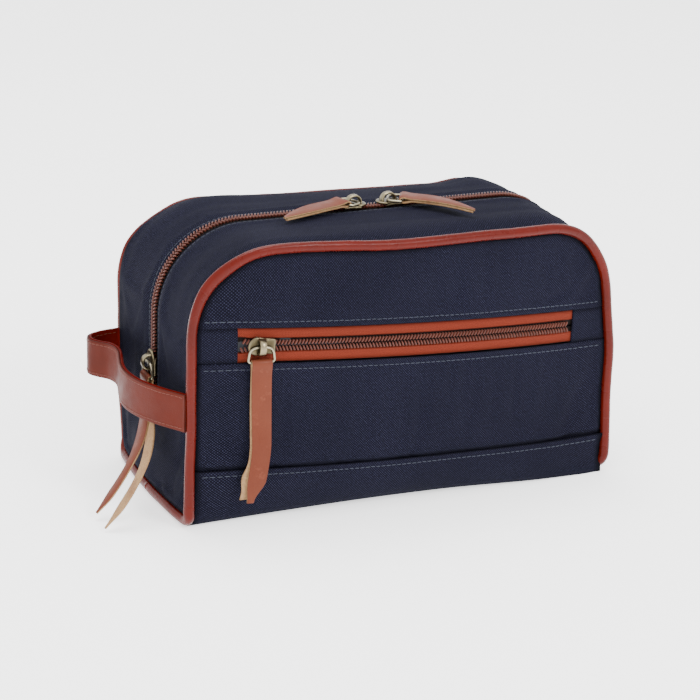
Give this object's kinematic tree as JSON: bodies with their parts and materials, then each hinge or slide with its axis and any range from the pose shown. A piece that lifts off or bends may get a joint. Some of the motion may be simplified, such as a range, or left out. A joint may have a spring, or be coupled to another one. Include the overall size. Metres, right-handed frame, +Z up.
{
  "type": "shaving kit bag",
  "caption": "Boxy zip-top shaving kit bag with leather piping, a two-way main zip, a front zip pocket, leather zip pulls and a side grab handle.",
  "frame": {"origin": "centre of the flat underside, where the bag rests", "axes": "+Z up, +X along the bag's length towards the end without a handle, the pocket front faces -Y"},
  "size_m": [0.3068, 0.142, 0.1689],
  "materials": {
    "navy_canvas": "tight woven navy canvas, matt",
    "piping_leather": "smooth tan-red leather over cord, soft sheen",
    "pull_leather": "grained tan-red leather with raw beige back and edges",
    "handle_leather": "smooth tan-red leather, stitched along both edges",
    "zip_tape": "rust woven tape",
    "zip_coil": "brown nylon coil",
    "antique_brass": "antique brass, dark in the recesses and bright on the edges",
    "lining_cloth": "smooth dark grey lining",
    "stiffener_board": "plain black board"
  },
  "bodies": {
    "shell": {"base_panel": "navy_canvas", "base_board": "stiffener_board", "lining_tub": "lining_cloth", "pocket_panel": "navy_canvas", "window_end_left": "navy_canvas", "window_end_right": "navy_canvas", "front_upper_left": "navy_canvas", "front_upper_right": "navy_canvas", "back_panel": "navy_canvas", "back_upper_left": "navy_canvas", "back_upper_right": "navy_canvas", "front_gusset_left": "navy_canvas", "front_gusset_right": "navy_canvas", "back_gusset_left": "navy_canvas", "back_gusset_right": "navy_canvas", "end_panel_left": "navy_canvas", "end_panel_right": "navy_canvas", "zip_end_tab": "navy_canvas", "piping_left": "piping_leather", "piping_right": "piping_leather", "front_zip_left": "zip_tape", "front_zip_right": "zip_tape", "back_zip_left": "zip_tape", "back_zip_right": "zip_tape", "pocket_tape_upper": "zip_tape", "pocket_tape_lower": "zip_tape", "pocket_coil_upper": "zip_coil", "pocket_coil_lower": "zip_coil", "pocket_bag": "lining_cloth", "handle_end_front": "handle_leather", "handle_end_back": "handle_leather"},
    "front_lip": {"front_lip_panel": "navy_canvas", "front_lip_lining": "lining_cloth", "front_gusset_lip": "navy_canvas", "front_lip_piping": "piping_leather", "front_zip_lip": "zip_tape"},
    "back_lip": {"back_lip_panel": "navy_canvas", "back_lip_lining": "lining_cloth", "back_gusset_lip": "navy_canvas", "back_lip_piping": "piping_leather", "back_zip_lip": "zip_tape"},
    "top_left_slider": {"top_left_slider": "antique_brass"},
    "top_left_loop": {"top_left_loop": "antique_brass"},
    "top_left_pull": {"top_left_pull": "pull_leather"},
    "top_right_slider": {"top_right_slider": "antique_brass"},
    "top_right_loop": {"top_right_loop": "antique_brass"},
    "top_right_pull": {"top_right_pull": "pull_leather"},
    "end_slider": {"end_slider": "antique_brass"},
    "end_loop": {"end_loop": "antique_brass"},
    "end_pull": {"end_pull": "pull_leather"},
    "end_pull_tails": {"end_pull_tails": "pull_leather"},
    "pocket_slider": {"pocket_slider": "antique_brass"},
    "pocket_loop": {"pocket_loop": "antique_brass"},
    "pocket_pull": {"pocket_pull": "pull_leather"},
    "handle": {"handle_strap": "handle_leather", "handle_lining": "handle_leather"}
  },
  "joints": [
    {"name": "mouth_open", "type": "hinge", "parent": "shell", "child": "front_lip", "pos_m": [0, -0.015, 0.04], "axis": [1, 0, 0], "range_deg": [0, 13]},
    {"name": "back_lip_open", "type": "hinge", "parent": "shell", "child": "back_lip", "pos_m": [0, 0.015, 0.04], "axis": [-1, 0, 0], "range_deg": [0, 13]},
    {"name": "top_left_slide", "type": "slide", "parent": "shell", "child": "top_left_slider", "axis": [-1, 0, 0], "range_m": [0, 0.068]},
    {"name": "top_right_slide", "type": "slide", "parent": "shell", "child": "top_right_slider", "axis": [1, 0, 0], "range_m": [0, 0.068]},
    {"name": "top_left_loop_swing", "type": "hinge", "parent": "top_left_slider", "child": "top_left_loop", "pos_m": [-0.011, 0, 0.166], "axis": [-0.2079, 0.9781, 0], "range_deg": [0, 100]},
    {"name": "top_left_pull_swing", "type": "hinge", "parent": "top_left_loop", "child": "top_left_pull", "pos_m": [-0.02156, -0.00225, 0.166], "axis": [-0.2079, 0.9781, 0], "range_deg": [0, 75]},
    {"name": "top_right_loop_swing", "type": "hinge", "parent": "top_right_slider", "child": "top_right_loop", "pos_m": [0.011, 0, 0.166], "axis": [-0.2079, -0.9781, 0], "range_deg": [0, 100]},
    {"name": "top_right_pull_swing", "type": "hinge", "parent": "top_right_loop", "child": "top_right_pull", "pos_m": [0.02156, -0.00225, 0.166], "axis": [-0.2079, -0.9781, 0], "range_deg": [0, 75]},
    {"name": "end_slide", "type": "slide", "parent": "shell", "child": "end_slider", "axis": [0, 0, 1], "range_m": [0, 0.025]},
    {"name": "end_loop_swing", "type": "hinge", "parent": "end_slider", "child": "end_loop", "pos_m": [-0.1385, 0, 0.0815], "axis": [0, 1, 0], "range_deg": [0, 6]},
    {"name": "end_pull_swing", "type": "hinge", "parent": "end_loop", "child": "end_pull", "pos_m": [-0.1385, 0, 0.0707], "axis": [0, 1, 0], "range_deg": [0, 5]},
    {"name": "end_tails_bend", "type": "hinge", "parent": "end_pull", "child": "end_pull_tails", "pos_m": [-0.1385, 0, 0.0544], "axis": [0, -1, 0], "range_deg": [0, 30]},
    {"name": "pocket_slide", "type": "hinge", "parent": "shell", "child": "pocket_slider", "pos_m": [0, 0.71454, 0.10175], "axis": [0.0569, 0, 0.9984], "range_deg": [0, 14.2]},
    {"name": "pocket_loop_swing", "type": "hinge", "parent": "pocket_slider", "child": "pocket_loop", "pos_m": [-0.09981, -0.06715, 0.10742], "axis": [-0.992, 0.126, 0], "range_deg": [0, 120]},
    {"name": "pocket_pull_swing", "type": "hinge", "parent": "pocket_loop", "child": "pocket_pull", "pos_m": [-0.09981, -0.06715, 0.09662], "axis": [-0.992, 0.126, 0], "range_deg": [0, 60]},
    {"name": "handle_tilt", "type": "hinge", "parent": "shell", "child": "handle", "pos_m": [-0.136, 0, 0.07], "axis": [0, 1, 0], "range_deg": [-10, 10]}
  ],
  "couplings": [
    {"joint": "back_lip_open", "follows": "mouth_open", "ratio": 1},
    {"joint": "top_left_slide", "follows": "mouth_open", "m_per_rad": 0.2997},
    {"joint": "top_right_slide", "follows": "mouth_open", "m_per_rad": 0.2997},
    {"joint": "end_tails_bend", "follows": "end_slide", "rad_per_m": 20.94}
  ]
}
